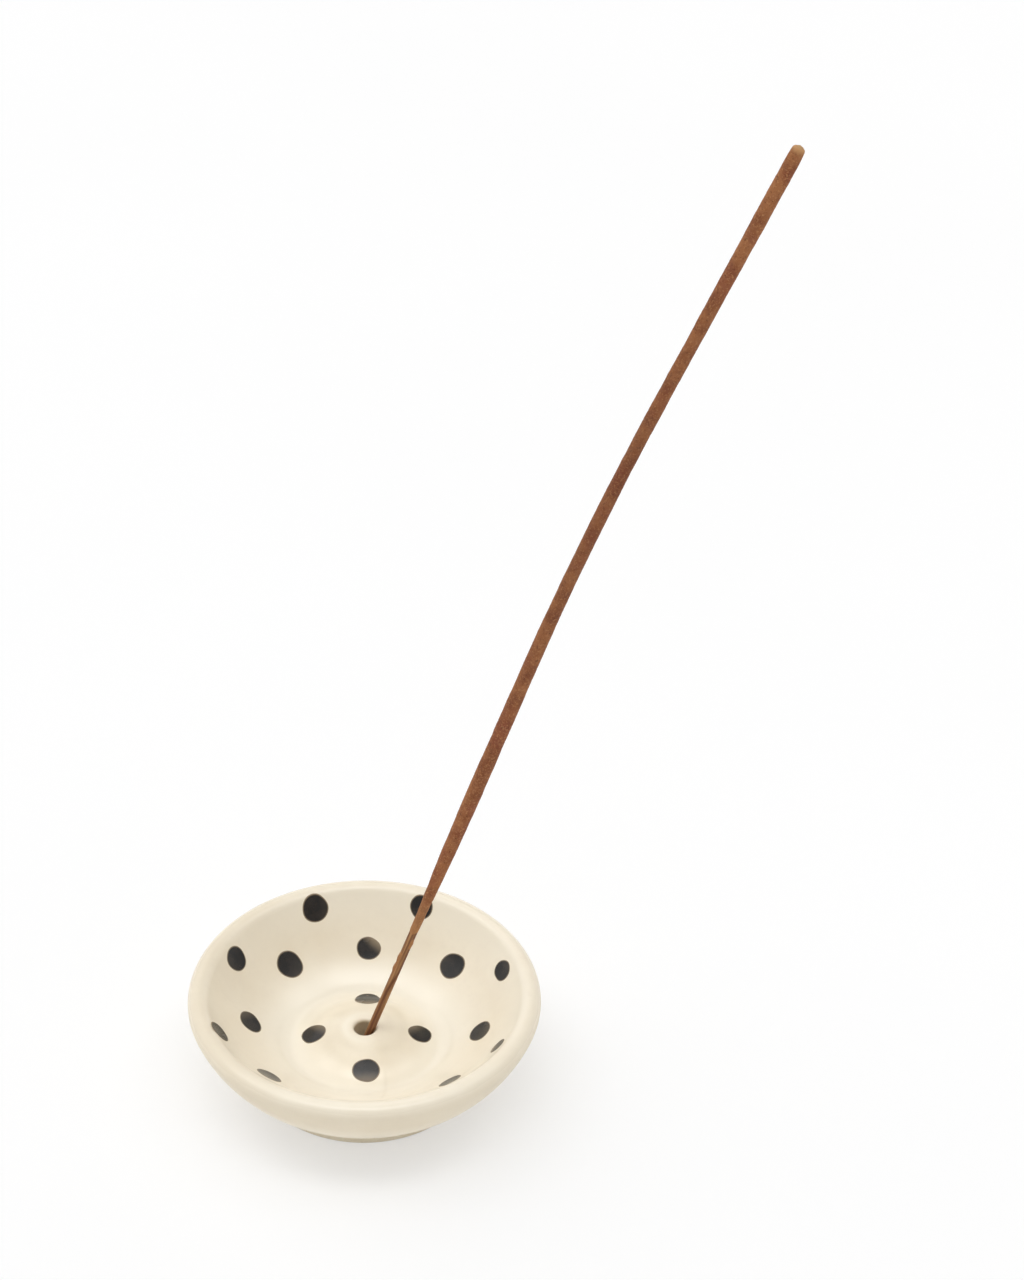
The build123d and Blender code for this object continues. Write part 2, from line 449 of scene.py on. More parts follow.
def band(first, second):
    """Faces between two rings of vertices. A ring of one vertex is a pole."""
    if len(first) == 1 and len(second) == 1:
        return []
    if len(first) == 1 or len(second) == 1:
        pole, ring = (first[0], second) if len(first) == 1 else (second[0], first)
        return [(pole, ring[k], ring[(k + 1) % len(ring)]) for k in range(len(ring))]
    count = len(first)
    return [
        (first[k], first[(k + 1) % count], second[(k + 1) % count], second[k]) for k in range(count)
    ]


def bands(rings):
    """Faces between each ring of vertices and the next."""
    faces = []
    for first, second in zip(rings, rings[1:]):
        faces += band(first, second)
    return faces


# Nodes and materials

class Nodes:
    """A node tree, with short ways to add nodes to it."""

    def __init__(self, tree):
        self.tree = tree

    def node(self, kind, **settings):
        made = self.tree.nodes.new(kind)
        for setting, value in settings.items():
            setattr(made, setting, value)
        return made

    def feed(self, value, socket):
        """Sets a socket to a value, or links it to another node's output."""
        if isinstance(value, bpy.types.NodeSocket):
            self.tree.links.new(value, socket)
        else:
            socket.default_value = value

    def maths(self, operation, first, second, kind="ShaderNodeMath"):
        made = self.node(kind, operation=operation)
        self.feed(first, made.inputs[0])
        self.feed(second, made.inputs[1])
        return made.outputs[0]

    def spread(self, value, low, high, least, most):
        """A soft step from the least, where a value is low, to the most."""
        made = self.node("ShaderNodeMapRange", interpolation_type="SMOOTHSTEP")
        self.feed(value, made.inputs["Value"])
        self.feed(low, made.inputs["From Min"])
        self.feed(high, made.inputs["From Max"])
        self.feed(least, made.inputs["To Min"])
        self.feed(most, made.inputs["To Max"])
        return made.outputs["Result"]

    def seen(self):
        """1 for rays that show the background: to the camera, in a reflection or through glass."""
        rays = self.node("ShaderNodeLightPath").outputs
        seen = rays["Is Camera Ray"]
        for kind in ("Is Glossy Ray", "Is Transmission Ray"):
            seen = self.maths("MAXIMUM", seen, rays[kind])
        return seen


class Shader(Nodes):
    """A node material with a principled surface."""

    def __init__(self, name):
        self.material = bpy.data.materials.new(name)
        self.material.use_nodes = True
        super().__init__(self.material.node_tree)
        self.surface = self.tree.nodes["Principled BSDF"]

    def attribute(self, name, output="Fac"):
        return self.node("ShaderNodeAttribute", attribute_name=name).outputs[output]

    def stretched(self, vector, scales):
        made = self.node("ShaderNodeMapping")
        self.feed(scales, made.inputs["Scale"])
        self.feed(vector, made.inputs["Vector"])
        return made.outputs["Vector"]

    def noise(self, scale, detail, roughness, vector=None):
        """Noise at each place of a piece, or of a vector."""
        made = self.node("ShaderNodeTexNoise")
        self.feed(scale, made.inputs["Scale"])
        self.feed(detail, made.inputs["Detail"])
        self.feed(roughness, made.inputs["Roughness"])
        self.feed(vector or self.node("ShaderNodeTexCoord").outputs["Object"], made.inputs["Vector"])
        return made.outputs["Fac"]

    def bump(self, pattern, strength, height, under=None):
        made = self.node("ShaderNodeBump")
        self.feed(strength, made.inputs["Strength"])
        self.feed(height, made.inputs["Distance"])
        self.feed(pattern, made.inputs["Height"])
        if under is not None:
            self.feed(under, made.inputs["Normal"])
        return made.outputs["Normal"]

    def grain(self, scale, detail, roughness, low, high, least, most):
        return self.spread(self.noise(scale, detail, roughness), low, high, least, most)

    def relief(self, scale, detail, roughness, strength, height, under=None):
        return self.bump(self.noise(scale, detail, roughness), strength, height, under)

    def mix(self, share, first, second):
        """A blend of two colours, each from the list or from a node. Its sockets go by number."""
        made = self.node("ShaderNodeMix", data_type="RGBA")
        self.feed(share, made.inputs[0])
        for colour, socket in ((first, made.inputs[6]), (second, made.inputs[7])):
            self.feed(linear(*colour) if isinstance(colour, tuple) else colour, socket)
        return made.outputs[2]

    def finish(self, colour, roughness, normal):
        self.feed(colour, self.surface.inputs["Base Color"])
        self.feed(roughness, self.surface.inputs["Roughness"])
        self.feed(normal, self.surface.inputs["Normal"])
        return self.material


def glaze_material():
    """Cream glaze: soft clouds of tone, darker where it is thicker and where shade is painted, paler
    where it is thinner and where light is painted, and glossy, less so on the outside.
    """
    shader = Shader("cream_glaze")
    colour = shader.mix(shader.grain(*glaze_clouds), cream, warm_cream)
    colour = shader.mix(shader.grain(*glaze_mottle), colour, mottled_cream)
    # Darker for thicker glaze and for painted shade, paler for thinner glaze and for painted light
    colour = shader.mix(shader.attribute("thick_and_shade"), colour, thick_and_shaded_cream)
    colour = shader.mix(shader.attribute("thin"), colour, thin_and_lit_cream)
    roughness = shader.maths("ADD", shader.grain(*glaze_gloss), shader.attribute("dull"))
    shader.feed(glaze_ior, shader.surface.inputs["IOR"])
    return shader.finish(colour, roughness, shader.relief(*glaze_peel))


def paint_material():
    """Black brushed colour under the gloss, browner where the brush left it thin, and on one side of
    each mound dot, where a reflection is painted.
    """
    shader = Shader("black_underglaze")
    colour = shader.mix(shader.grain(*paint_strokes), paint_black, paint_brown)
    colour = shader.mix(shader.attribute("rim"), colour, paint_thin_and_sheen)
    shader.feed(paint_ior, shader.surface.inputs["IOR"])
    return shader.finish(colour, shader.grain(*paint_gloss), shader.relief(*glaze_peel))


def clay_material():
    """Bare stoneware: pale buff with sandy specks and a dry, gritty skin."""
    shader = Shader("bare_stoneware")
    colour = shader.mix(shader.grain(*clay_clouds), clay_pale, clay_buff)
    colour = shader.mix(shader.grain(*clay_specks), colour, clay_sand)
    return shader.finish(colour, shader.grain(*clay_gloss), shader.relief(*clay_grit))


def bamboo_material():
    """Split bamboo: fine fibres along the splint, with darker streaks and skin, and pale cut ends."""
    shader = Shader("split_bamboo")
    place = shader.attribute("grain", "Vector")
    fibres = shader.noise(*fibre_noise, shader.stretched(place, fibre_scales))
    streaks = shader.noise(*streak_noise, shader.stretched(place, streak_scales))
    colour = shader.mix(shader.spread(fibres, *fibre_tones), fibre_brown, fibre_pale)
    colour = shader.mix(shader.spread(streaks, *streak_tones), colour, streak_brown)
    colour = shader.mix(shader.attribute("skin"), colour, skin_brown)
    colour = shader.mix(shader.attribute("end"), colour, cut_pale)
    roughness = shader.spread(fibres, *fibre_gloss)
    return shader.finish(colour, roughness, shader.bump(fibres, *fibre_relief))


def paste_material():
    """Rolled incense paste: mottled wood powder, dry and rough, paler on the tip and where thin."""
    shader = Shader("incense_paste_coat")
    colour = shader.mix(shader.grain(*paste_patches), paste_tan, paste_brown)
    colour = shader.mix(shader.grain(*paste_blush), colour, paste_red)
    colour = shader.mix(shader.grain(*paste_dust), colour, paste_sand)
    colour = shader.mix(shader.grain(*paste_pits), colour, paste_dark)
    colour = shader.mix(shader.attribute("deep"), colour, paste_deep)
    colour = shader.mix(shader.attribute("pale"), colour, paste_pale)
    crumbs = shader.relief(*paste_fine, shader.relief(*paste_coarse))
    return shader.finish(colour, shader.grain(*paste_gloss), crumbs)


# Pot

def arc(centre, radius, start, end, side, region, spacing):
    """Rows along an arc of the pot's outline: radius, height, outward normal and region."""
    count = max(2, ceil(abs(end - start) * radius / spacing))
    rows = []
    for step in range(count + 1):
        angle = mixed(start, end, step / count)
        place = (centre[0] + radius * cos(angle), centre[1] + radius * sin(angle))
        rows.append((*place, side * cos(angle), side * sin(angle), region))
    return rows


def line(first, last, region, spacing):
    """Rows along a straight stretch, with the outside on the right of the way."""
    run, rise = last[0] - first[0], last[1] - first[1]
    length = hypot(run, rise)
    count = max(1, ceil(length / spacing))
    rows = []
    for step in range(count + 1):
        share = step / count
        place = (mixed(first[0], last[0], share), mixed(first[1], last[1], share))
        rows.append((*place, rise / length, -run / length, region))
    return rows


def pot_rows(depth, spacing):
    """Rows from the glaze line up the wall, over the lip and down to the middle of the socket."""
    foot = foot_radius - depth
    wall = wall_radius - depth
    foot_reach = foot - wall_centre[0]
    foot_top = wall_centre[1] - sqrt(wall**2 - foot_reach**2)
    bore = bore_radius + depth
    narrow_end = (socket_floor_radius + depth, socket_floor - depth)
    parts = (
        line((foot, glaze_line), (foot, foot_top), "foot", spacing),
        arc(wall_centre, wall, -acos(foot_reach / wall), -wall_lean, 1, "wall", spacing),
        arc(lip_centre, lip_radius - depth, -wall_lean, lip_slope + right_angle, 1, "lip", spacing),
        arc(
            (0, dish_centre_height),
            dish_radius + depth,
            lip_slope - right_angle,
            dish_foot_slope - right_angle,
            -1,
            "dish",
            spacing,
        ),
        arc(
            valley_centre,
            valley_radius + depth,
            dish_foot_slope - right_angle,
            -flank_slope - right_angle,
            -1,
            "dish",
            spacing,
        ),
        arc(
            (0, cap_centre_height),
            cap_radius - depth,
            right_angle - flank_slope,
            right_angle - mouth_slope,
            1,
            "dish",
            spacing,
        ),
        arc(
            mouth_centre,
            mouth_edge_radius - depth,
            right_angle - mouth_slope,
            2 * right_angle,
            1,
            "socket",
            spacing / 4,
        ),
        line((bore, mouth_centre[1]), (bore, collar_end), "socket", spacing),
        line((bore, collar_end), narrow_end, "socket", spacing),
        line(narrow_end, (0, narrow_end[1]), "socket", spacing),
    )
    rows = []
    for part in parts:
        rows += part if not rows else part[1:]
    return rows


def inner_place(radius):
    """Height and slope of the inside of the bowl at a distance from its axis."""
    if radius < cap_radius * sin(flank_slope):
        slope = -asin(radius / cap_radius)
        return cap_centre_height + cap_radius * cos(slope), slope
    if radius < dish_radius * sin(dish_foot_slope):
        slope = asin((radius - valley_centre[0]) / valley_radius)
        return valley_centre[1] - valley_radius * cos(slope), slope
    slope = asin(radius / dish_radius)
    return dish_centre_height - dish_radius * cos(slope), slope


def wobble(angle):
    """How far the potter's hand was off true, round the bowl, from 0 to 1."""
    return 0.5 + sum(share * sin(number * angle + start) for number, share, start in wobble_waves)


def ring_radius(index, angle):
    """Radius of one of the rings, which are a little oval."""
    return ring_radii[index] + ring_ovals[index] * cos(2 * angle)


def swirl(radius, angle):
    """Where a finger drew the clay to the middle, from 0 to 1: a broken spiral on the mound."""
    strength = round_noise(angle, swirl_noise_reach, radius / mound_ring_radius)
    inner_fade = smooth(mouth_bead_radius, valley_radius, radius)
    outer_fade = smooth(ring_radii[1], mound_ring_radius, radius)
    turn = full_turn * radius / swirl_pitch - swirl_arms * angle
    return strength * inner_fade * outer_fade * wave(turn)


def throwing(radius, angle):
    """Depth of the potter's finger marks inside the bowl: a slow spiral, a crease and faint rings."""
    inner_fade = smooth(ring_radii[0], ring_radii[-1], radius)
    outer_fade = smooth(dish_edge_radius, ring_radii[-1], radius)
    spiral = wave(full_turn * radius / throwing_pitch + angle)
    uneven = 1 - throwing_uneven_share + throwing_uneven_share * sin(angle + throwing_start)
    depth = throwing_depth * inner_fade * outer_fade * uneven * spiral
    depth += valley_dip_depth * bell(radius - valley_dip_radius, valley_dip_width)
    depth += swirl_depth * swirl(radius, angle)
    for index, ring_depth in enumerate(ring_depths):
        crease = bell(radius - ring_radius(index, angle), ring_width)
        depth += ring_depth * wobble(angle + index) * crease
    return depth - mouth_bead_height * bell(radius - mouth_bead_radius, mouth_bead_width)


def dent(region, radius, height, angle):
    """How far the glaze's surface lies inside the true outline."""
    if region == "socket":
        return surface_inset
    off_true = wobble_depth * wobble(angle)
    if region == "dish":
        fade = smooth(ring_radii[-1], dish_edge_radius, radius)
        return surface_inset + throwing(radius, angle) + off_true * fade
    if region == "lip":
        return surface_inset + off_true
    lines = wave(full_turn * height / wall_line_pitch + angle)
    return surface_inset + off_true + wall_line_depth * lines


def glaze_run(radius, angle):
    """Where the faint run in the glaze is, from 0 to 1."""
    share = (radius - run_radii[0]) / (run_radii[1] - run_radii[0])
    if not 0 < share < 1:
        return 0.0
    side = (angle - mixed(run_angles[0], run_angles[1], share)) * radius
    fade = smooth(0, run_fade_shares[0], share) * smooth(0, run_fade_shares[1], 1 - share)
    return bell(side, run_width) * fade


def thick_glaze_and_shade_patch(radius, angle):
    """How much of the darker patches is at a place inside the bowl: partly thicker glaze, partly painted
    shade.
    """
    tone = 0.0
    patches = zip(patch_radii, patch_angles, patch_widths, patch_tones)
    for patch_radius, patch_angle, width, top in patches:
        off = hypot(
            radius * cos(angle) - patch_radius * cos(patch_angle),
            radius * sin(angle) - patch_radius * sin(patch_angle),
        )
        tone += top * bell(off, width)
    return tone


def dish_signs(radius, angle, patch, lit_side):
    """How much the glaze inside the bowl looks darker, paler and dull. It is paler with painted light
    over the hollow ring, in a highlight band at its back and under the lip on the lit side.
    """
    crease = bell(radius - ring_radius(0, angle), ring_width)
    thick_and_shade = crease_tone * crease * patch + run_tone * glaze_run(radius, angle)
    # The patches are partly thicker glaze and partly painted shade
    thick_and_shade += swirl_tone * swirl(radius, angle) + thick_glaze_and_shade_patch(radius, angle)
    # Paler over the bead round the mouth, where the glaze runs thinner, with a painted highlight
    # strongest on its left side
    bead = bell(radius - mouth_bead_radius, mouth_bead_width) * wave(angle - right_angle)
    # Painted light over the hollow ring, a painted highlight in a band at its back, and painted light
    # under the lip at the back and right
    hollow_light = smooth(ring_radii[-1], ring_radii[0], radius) * smooth(hollow_light_start, hollow_light_end, radius)
    back = bell(radius - back_highlight_radius, back_highlight_width) * smooth(*back_highlight_fade, sin(angle))
    brow = smooth(ring_radii[-1], dish_edge_radius, radius)
    thin = max(bead_glaze_and_highlight_tone * bead, hollow_light_tone * hollow_light + back_highlight_tone * back, brow_light_tone * brow * lit_side)
    return thick_and_shade, thin, slope_dullness * brow


def lip_signs(radius, height, angle, patch, lit_side):
    """How much the glaze on the lip looks darker, paler and dull: painted shade outside and on the left,
    painted light on the crest, at the front and inside on the lit side.
    """
    outside = smooth(lip_centre[0], bowl_radius, radius)
    inside = smooth(lip_centre[0], dish_edge_radius, radius)
    crest = smooth(lip_centre[1], bowl_height, height)
    tone = crest * (1 - inside)
    # Painted shade on the left of the crest and outside, painted light in patches on the rest of the
    # crest and at the front
    left = smooth(*left_shade_fade, -cos(angle))
    front = smooth(*front_light_fade, -sin(angle))
    thick_and_shade = max(lip_outside_shade_tone * outside, lip_left_shade_tone * tone * left)
    thin = tone * (lip_crest_light_tone * patch * (1 - left) + lip_front_light_tone * front)
    thin += brow_light_tone * inside * lit_side
    dull = max(slope_dullness * inside, outside_dullness * outside * (1 - crest))
    return thick_and_shade, thin, dull


def glaze_signs(region, radius, height, angle):
    """How much the glaze looks darker, paler and dull at a place, from thicker and thinner glaze and
    from painted shade and painted light.
    """
    patch = round_noise(angle, glaze_noise_reach, radius / ring_radii[0])
    lit_side = smooth(*lit_side_fade, cos(angle - lit_side_angle))
    if region == "dish":
        return dish_signs(radius, angle, patch, lit_side)
    if region == "lip":
        return lip_signs(radius, height, angle, patch, lit_side)
    if region == "foot":
        return foot_tone * smooth(foot_height, glaze_line, height), 0.0, outside_dullness
    if region == "wall":
        # Outside, painted shade on the upper wall, in patches, and painted light low down
        shade = smooth(wall_low_light_height, wall_shade_height, height)
        thick_and_shade = (wall_shade_tone + wall_patch_shade_tone * patch) * shade
        return thick_and_shade, wall_low_light_tone * (1 - shade), outside_dullness
    return smooth(mouth_top, mouth_centre[1], height), 0.0, 0.0


def turned_rings(rows, start, dents):
    """Vertices, rings and places of rows turned about the axis. A row on the axis is a pole."""
    vertices, rings, places = [], [], []
    for radius, height, out, up, region in rows:
        first = start + len(vertices)
        if radius < surface_inset:
            vertices.append((0, 0, height))
            rings.append([first])
            places.append((region, radius, height, 0.0))
            continue
        for step in range(turned_segments):
            angle = full_turn * step / turned_segments
            depth = dents(region, radius, height, angle)
            reach = radius - out * depth
            vertices.append((reach * cos(angle), reach * sin(angle), height - up * depth))
            places.append((region, radius, height, angle))
        rings.append(list(range(first, first + turned_segments)))
    return vertices, rings, places


def glaze_coat(material):
    """The glaze: its glossy face, a rolled edge at the foot, and its hidden back on the clay."""
    def face_dent(region, radius, height, angle):
        edge = smooth(glaze_line + glaze_thickness, glaze_line, height)
        return dent(region, radius, height, angle) + glaze_roll * edge

    def back_dent(region, radius, height, angle):
        return 0.0

    face, face_rings, places = turned_rings(pot_rows(0, fine_spacing), 0, face_dent)
    back, back_rings, _ = turned_rings(pot_rows(glaze_thickness, hidden_spacing), len(face), back_dent)
    vertices = face + back
    for index in face_rings[0] + back_rings[0]:
        x, y, z = vertices[index]
        lift = glaze_edge_wave * round_noise(atan2(y, x), *glaze_edge_noise)
        vertices[index] = (x, y, z + lift)
    faces = bands(face_rings) + bands(back_rings) + band(face_rings[0], back_rings[0])
    coat = add_piece("glaze_shell", vertices, faces, material, "bowl", "glaze_coat")
    signs = [glaze_signs(*place) for place in places]
    signs += [(0.0, 0.0, 0.0)] * len(back)
    for name, values in zip(("thick_and_shade", "thin", "dull"), zip(*signs)):
        add_values(coat, name, values)


def clay_pot(material):
    """The fired clay: a flat foot with turning marks, and the body under the glaze."""
    edge_centre = (foot_radius - foot_edge_radius, foot_edge_radius)
    under = glaze_thickness + surface_inset
    step_in = (foot_radius - under, glaze_line)
    rows = line((0, 0), (edge_centre[0], 0), "base", fine_spacing)
    rows += arc(edge_centre, foot_edge_radius, -right_angle, 0, 1, "foot", foot_edge_radius / 4)[1:]
    rows += line((foot_radius, foot_edge_radius), (foot_radius, glaze_line), "foot", fine_spacing)[1:]
    rows += line((foot_radius, glaze_line), step_in, "step", fine_spacing)[1:]
    rows += pot_rows(under, hidden_spacing)[1:]

    def marks(region, radius, height, angle):
        if region == "base":
            inside = smooth(edge_centre[0], edge_centre[0] - foot_groove_pitch, radius)
            return foot_groove_depth * inside * wave(full_turn * radius / foot_groove_pitch + angle)
        if region == "foot":
            return surface_inset * (1 + sin(full_turn * height / foot_edge_radius + angle))
        return 0.0

    vertices, rings, _ = turned_rings(rows, 0, marks)
    add_piece("clay_pot", vertices, bands(rings), material, "bowl", "clay_body")


# Dots

def inside_point(radius, angle, lift):
    """A point over the glaze inside the bowl."""
    height, slope = inner_place(radius)
    rise = lift - dent("dish", radius, height, angle)
    reach = radius - rise * sin(slope)
    return (reach * cos(angle), reach * sin(angle), height + rise * cos(slope))


def dot_outline(turn, number):
    """The brush's uneven outline, as a share of a dot's radius."""
    longest, oval = odd_ovals.get(number, (oval_turn * number, oval_share))
    outline = 1 + oval * cos(2 * (turn - radians(longest)))
    for waves, share, start in brush_waves:
        outline += share * cos(waves * turn + start * number)
    return outline


def add_dot(place, thin_side, number, vertices, faces, rims):
    """Adds one dot's film: a top, a rounded rim and a back inside the glaze."""
    radius, angle, size = place
    thin_turn, thin_share = thin_side
    _, slope = inner_place(radius)
    film = [(share, paint_lift) for share in dot_ring_shares[:-1]]
    film += [(dot_ring_shares[-1], -paint_lift), (dot_ring_shares[0], -paint_sink)]
    rings = [[len(vertices)]]
    vertices.append(inside_point(radius, angle, paint_lift))
    rims.append(0.0)
    for share, lift in film:
        rings.append(list(range(len(vertices), len(vertices) + dot_segments)))
        for step in range(dot_segments):
            turn = full_turn * step / dot_segments
            reach = size * share * dot_outline(turn, number)
            ahead = radius + reach * cos(turn) * cos(slope)
            side = reach * sin(turn)
            vertices.append(inside_point(hypot(ahead, side), angle + atan2(side, ahead), lift))
            # A paler side: thin paint, and on the mound dots a painted reflection
            thin = thin_share * smooth(0, 1, share * cos(turn - thin_turn))
            rims.append(max(thin, smooth(rim_share, dot_ring_shares[-1], share)))
    rings.append([len(vertices)])
    vertices.append(inside_point(radius, angle, -paint_sink))
    rims.append(0.0)
    faces += bands(rings)


def painted_dots(material):
    """All the dots, each a thin film that lies on the glaze and sinks into it at its rim."""
    angles = mound_ring_angles + lower_ring_angles + upper_ring_angles
    shares = mound_ring_shares + lower_ring_shares + upper_ring_shares
    sizes = mound_size_shares + lower_size_shares + upper_size_shares
    thin_turns = mound_sheen_turns + lower_thin_turns + upper_thin_turns
    thin_shares = mound_sheen_shares + lower_thin_shares + upper_thin_shares
    radii = [mound_ring_radius] * len(mound_ring_angles)
    radii += [lower_ring_radius] * len(lower_ring_angles)
    radii += [upper_ring_radius] * len(upper_ring_angles)
    vertices, faces, rims = [], [], []
    table = zip(radii, angles, shares, sizes, thin_turns, thin_shares)
    for number, (ring, angle, share, size, thin_turn, thin) in enumerate(table, 1):
        place = (ring * share, radians(angle), dot_radius * size)
        add_dot(place, (radians(thin_turn), thin), number, vertices, faces, rims)
    dots = add_piece("dot_paint", vertices, faces, material, "bowl", "painted_dots")
    add_values(dots, "rim", rims)


# Stick

def stick_place(distance):
    """A point on the stick's centre line, and its lean there, at a distance from its lower end."""
    along = Vector((sin(stick_lean), 0, cos(stick_lean)))
    start = Vector((heel[0], 0, heel[1]))
    if distance <= lower_run_length:
        return start + along * distance, stick_lean
    lower_end = start + along * lower_run_length
    bend_centre = lower_end + Vector((cos(stick_lean), 0, -sin(stick_lean))) * bend_radius
    lean = stick_lean + min(bend_angle, (distance - lower_run_length) / bend_radius)
    point = bend_centre + Vector((-cos(lean), 0, sin(lean))) * bend_radius
    beyond = max(0.0, distance - lower_run_length - bend_length)
    return point + Vector((sin(lean), 0, cos(lean))) * beyond, lean


def around_stick(distance, radius, turn):
    """A point beside the stick's centre line. Turn 0 is on its right, right_angle at its back."""
    point, lean = stick_place(distance)
    across = Vector((cos(lean), 0, -sin(lean)))
    return point + across * (radius * cos(turn)) + Vector((0, radius * sin(turn), 0))


def turn_between(turn, middle):
    """The shorter way from one turn to another."""
    return (turn - middle + pi) % full_turn - pi


def splint_radius(turn):
    """The splint's cross-section: a square with rounded corners that touches the core's circle."""
    side = abs(cos(turn - splint_turn)) ** splint_power + abs(sin(turn - splint_turn)) ** splint_power
    corner = 2 ** (0.5 - 1 / splint_power)
    return core_radius / corner * side ** (-1 / splint_power)


def stick_mesh(rows, segments):
    """Vertices, faces and grain places of rows of (distance, radius of each turn) along the stick."""
    vertices, grain, rings = [], [], []
    for distance, radius_at in rows:
        first = len(vertices)
        if radius_at is None:
            vertices.append(stick_place(distance)[0])
            grain.append((0, 0, distance))
            rings.append([first])
            continue
        for step in range(segments):
            turn = full_turn * step / segments
            radius = radius_at(turn)
            vertices.append(around_stick(distance, radius, turn))
            grain.append((radius * cos(turn), radius * sin(turn), distance))
        rings.append(list(range(first, first + segments)))
    return vertices, bands(rings), grain


def rounded_end(top, reach):
    """Distances and insets of rows that round an end off up to a top."""
    return [(top - reach + reach * share, reach * (1 - sqrt(1 - share**2))) for share in round_shares]


def bamboo_splint(material):
    """The splint, with fibre grooves where it shows and a clean cut at both ends."""
    def fibred(distance, inset):
        def radius_at(turn):
            groove = round_noise(turn, fibre_noise_reach, distance / paste_start)
            return splint_radius(turn) - inset - fibre_depth * groove
        return radius_at

    distances = [splint_chamfer]
    while distances[-1] < full_coat:
        distances.append(distances[-1] + splint_spacing)
    while distances[-1] < stick_length - 2 * hidden_step:
        distances.append(distances[-1] + hidden_step)
    distances.append(stick_length - splint_tip_round)
    rows = [(0, None), (0, fibred(0, splint_chamfer))]
    rows += [(distance, fibred(distance, 0)) for distance in distances]
    for distance, inset in rounded_end(stick_length, splint_tip_round):
        rows.append((distance, fibred(stick_length, inset)))
    rows.append((stick_length, None))
    vertices, faces, grain = stick_mesh(rows, splint_segments)
    splint = add_piece("bamboo_splint", vertices, faces, material, "stick", "bamboo_core")
    ends, skins = [], []
    for across, back, distance in grain:
        ends.append(smooth(stick_length - splint_tip_round, stick_length - tip_dip, distance))
        middle = mixed(*skin_turns, smooth(*skin_twist, distance))
        skins.append(bell(turn_between(atan2(back, across), middle), skin_reach))
    add_vectors(splint, "grain", grain)
    add_values(splint, "end", ends)
    add_values(splint, "skin", skins)


def crumb_height(distance, turn):
    """Height of the paste left behind on the bare splint."""
    height = 0.0
    for at, angle, top in zip(crumb_distances, crumb_angles, crumb_heights):
        off = turn_between(turn, angle)
        height = max(height, top * bell(distance - at, crumb_length) * bell(off, crumb_reach))
    return height


def paste_radius_at(distance, turn):
    """Radius of the coat: its table, lumps of several sizes, and crumbs below its ragged edge."""
    even = paste_radius * along_table(
        paste_station_shares, paste_radius_shares, distance / stick_length
    )
    point = around_stick(distance, even, turn)
    uneven = sum(
        depth * lumps(point, scale) for scale, depth in zip(lump_scales, lump_depths)
    )
    coated = smooth(bare_length - splint_spacing, full_coat, distance)
    ragged = ragged_depth * lumps(point, lump_scales[1])
    slim = mixed(splint_radius(turn) - core_radius, 0.0, coated)
    tip = smooth(stick_length, stick_length - tip_reach, distance)
    bare = even + slim + ragged + crumb_height(distance, turn)
    full = even + mixed(min(uneven, 0.0), uneven, tip)
    return mixed(bare, full, coated)


def paste_coat(material):
    """The paste, from the crumbs on the bare splint up to the rounded, slightly dished tip."""
    def coat(distance, inset):
        return lambda turn: paste_radius_at(distance, turn) - inset

    top = stick_length - tip_dip
    start = top - tip_round
    count = ceil((start - paste_start) / paste_spacing)
    rows = [(paste_start, None)]
    for step in range(count + 1):
        distance = mixed(paste_start, start, step / count)
        rows.append((distance, coat(distance, 0)))
    for distance, inset in rounded_end(top, tip_round):
        rows.append((distance, coat(start, inset)))
    rows.append((top - tip_dip, None))
    vertices, faces, grain = stick_mesh(rows, paste_segments)
    paste = add_piece("paste_coat", vertices, faces, material, "stick", "incense_paste")
    pale, deep = [], []
    for _, _, distance in grain:
        thin = thin_paleness * smooth(thin_end, bare_length, distance)
        pale.append(max(thin, smooth(start - tip_round, top, distance)))
        deep.append(deepness * bell(distance - deep_middle, deep_reach))
    add_values(paste, "pale", pale)
    add_values(paste, "deep", deep)


# Stage, light and camera

def add_floor():
    """A plain pale floor that keeps the object's shadow. It looks part lit and part white of itself."""
    shader = Shader("pale_floor")
    colour = shader.mix(shader.grain(*floor_clouds), floor_white, floor_pale)
    shader.feed(colour, shader.surface.inputs["Base Color"])
    shader.feed(1.0, shader.surface.inputs["Roughness"])
    shader.feed(0.0, shader.surface.inputs["Specular IOR Level"])
    glow = shader.node("ShaderNodeEmission")
    shader.feed(colour, glow.inputs["Color"])
    blend = shader.node("ShaderNodeMixShader")
    shader.feed(shader.spread(shader.seen(), 0.0, 1.0, 0.0, floor_glow_share), blend.inputs["Fac"])
    shader.feed(shader.surface.outputs["BSDF"], blend.inputs[1])
    shader.feed(glow.outputs["Emission"], blend.inputs[2])
    shader.feed(blend.outputs["Shader"], shader.tree.nodes["Material Output"].inputs["Surface"])
    half = floor_size / 2
    square = ((-half, -half), (half, -half), (half, half), (-half, half))
    corners = [(x, y, -floor_gap) for x, y in square]
    mesh = bpy.data.meshes.new("floor")
    mesh.from_pydata(corners, [], [(0, 1, 2, 3)])
    mesh.materials.append(shader.material)
    floor = bpy.data.objects.new("floor", mesh)
    scene.collection.objects.link(floor)


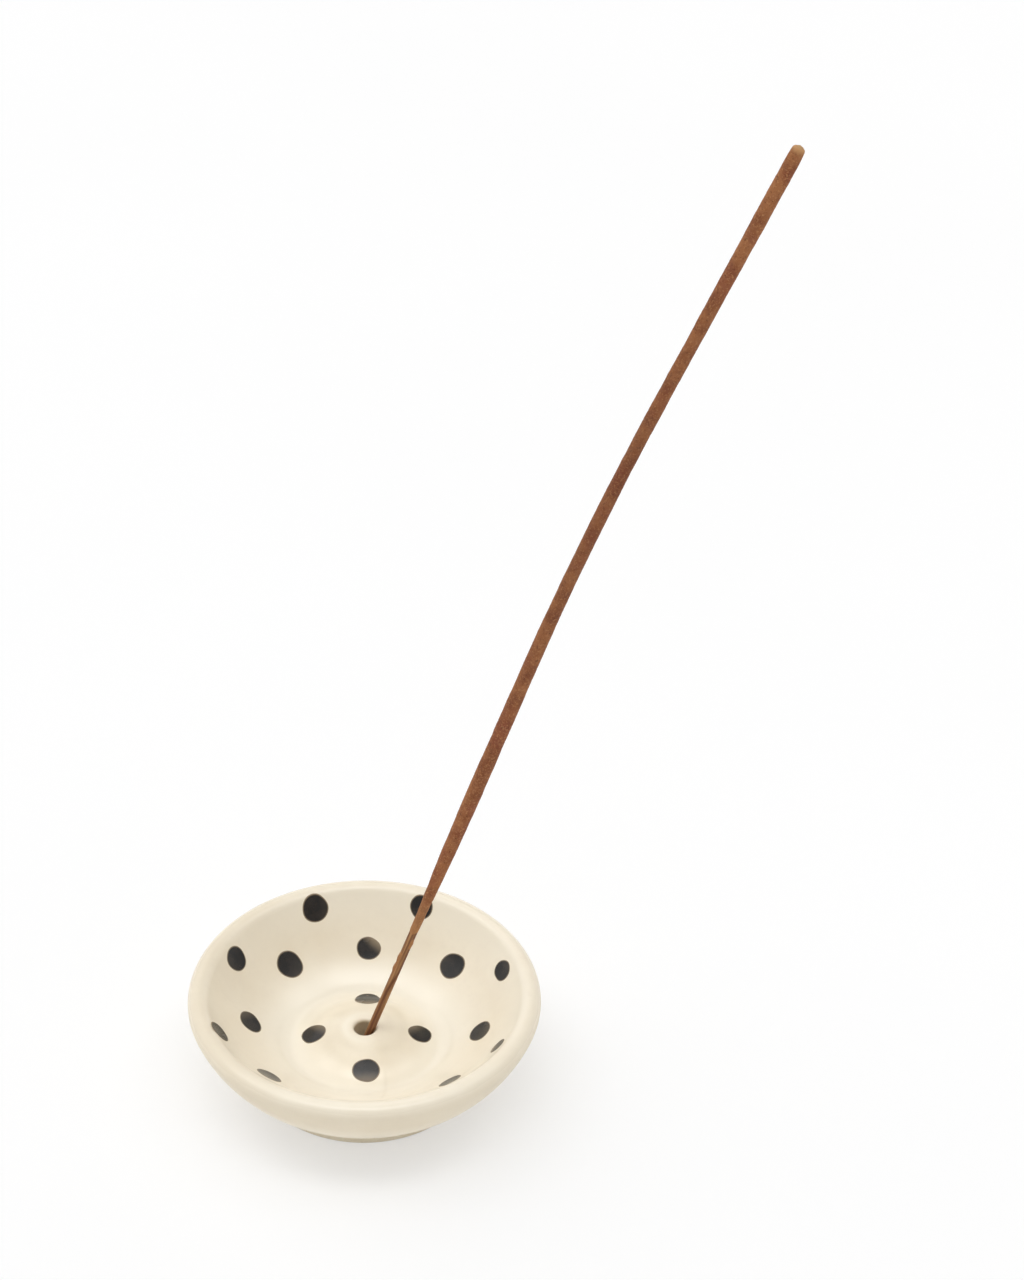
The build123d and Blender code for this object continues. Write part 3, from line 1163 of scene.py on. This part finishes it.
def add_world():
    """A quiet studio: a strip overhead and a softer glow at each side. It looks white at its foot."""
    world = bpy.data.worlds.new("studio")
    world.use_nodes = True
    scene.world = world
    nodes = Nodes(world.node_tree)
    place = nodes.node("ShaderNodeTexCoord").outputs["Generated"]

    def glow(middle, reach, level):
        """Light that fades softly from the middle to the edge of an oval on the dome."""
        off = nodes.maths("SUBTRACT", place, middle, "ShaderNodeVectorMath")
        share = nodes.maths("DIVIDE", off, reach, "ShaderNodeVectorMath")
        distance = nodes.node("ShaderNodeVectorMath", operation="LENGTH")
        nodes.feed(share, distance.inputs[0])
        return nodes.spread(distance.outputs["Value"], 1.0, glow_core, 0.0, level)

    light = nodes.maths("ADD", studio_level, glow(strip_middle, strip_reach, strip_level))
    for middle in (side_middle, (-side_middle[0], *side_middle[1:])):
        light = nodes.maths("ADD", light, glow(middle, side_reach, side_level))
    height = nodes.node("ShaderNodeSeparateXYZ")
    nodes.feed(place, height.inputs["Vector"])
    white = nodes.spread(height.outputs["Z"], skyline_end, skyline_height, 0.0, nodes.seen())
    strength = nodes.node("ShaderNodeMix")
    nodes.feed(white, strength.inputs["Factor"])
    nodes.feed(light, strength.inputs["A"])
    nodes.feed(1.0, strength.inputs["B"])
    background = nodes.tree.nodes["Background"]
    nodes.feed(strength.outputs["Result"], background.inputs["Strength"])
    nodes.feed((1.0, 1.0, 1.0, 1.0), background.inputs["Color"])


def add_key():
    """One very wide, soft lamp, behind the bowl at the left."""
    lamp = bpy.data.lights.new("key", "SUN")
    lamp.energy = key_energy
    lamp.angle = key_width
    key = bpy.data.objects.new("key", lamp)
    direction = Vector(
        (
            cos(key_azimuth) * cos(key_height),
            sin(key_azimuth) * cos(key_height),
            sin(key_height),
        )
    )
    key.rotation_euler = direction.to_track_quat("Z", "Y").to_euler()
    key.location = direction * key_distance
    scene.collection.objects.link(key)


def add_camera():
    """The photograph's camera: a long lens, looking down at the bowl, turned and rolled a little."""
    ahead = Vector(
        (
            sin(camera_yaw) * cos(camera_dip),
            cos(camera_yaw) * cos(camera_dip),
            -sin(camera_dip),
        )
    )
    level = Vector((cos(camera_yaw), -sin(camera_yaw), 0))
    upright = level.cross(ahead)
    side = level * cos(camera_roll) + upright * sin(camera_roll)
    top = upright * cos(camera_roll) - level * sin(camera_roll)
    data = bpy.data.cameras.new("camera")
    data.lens = camera_lens
    data.sensor_fit = "VERTICAL"
    data.sensor_height = camera_sensor
    camera = bpy.data.objects.new("camera", data)
    turn = Matrix((side, top, -ahead)).transposed()
    camera.matrix_world = Matrix.Translation(Vector(camera_place)) @ turn.to_4x4()
    scene.collection.objects.link(camera)
    scene.camera = camera


glaze_coat(glaze_material())
clay_pot(clay_material())
painted_dots(paint_material())
bamboo_splint(bamboo_material())
paste_coat(paste_material())
add_floor()
add_world()
add_key()
add_camera()
scene.view_settings.view_transform = "Standard"

bpy.context.view_layer.update()
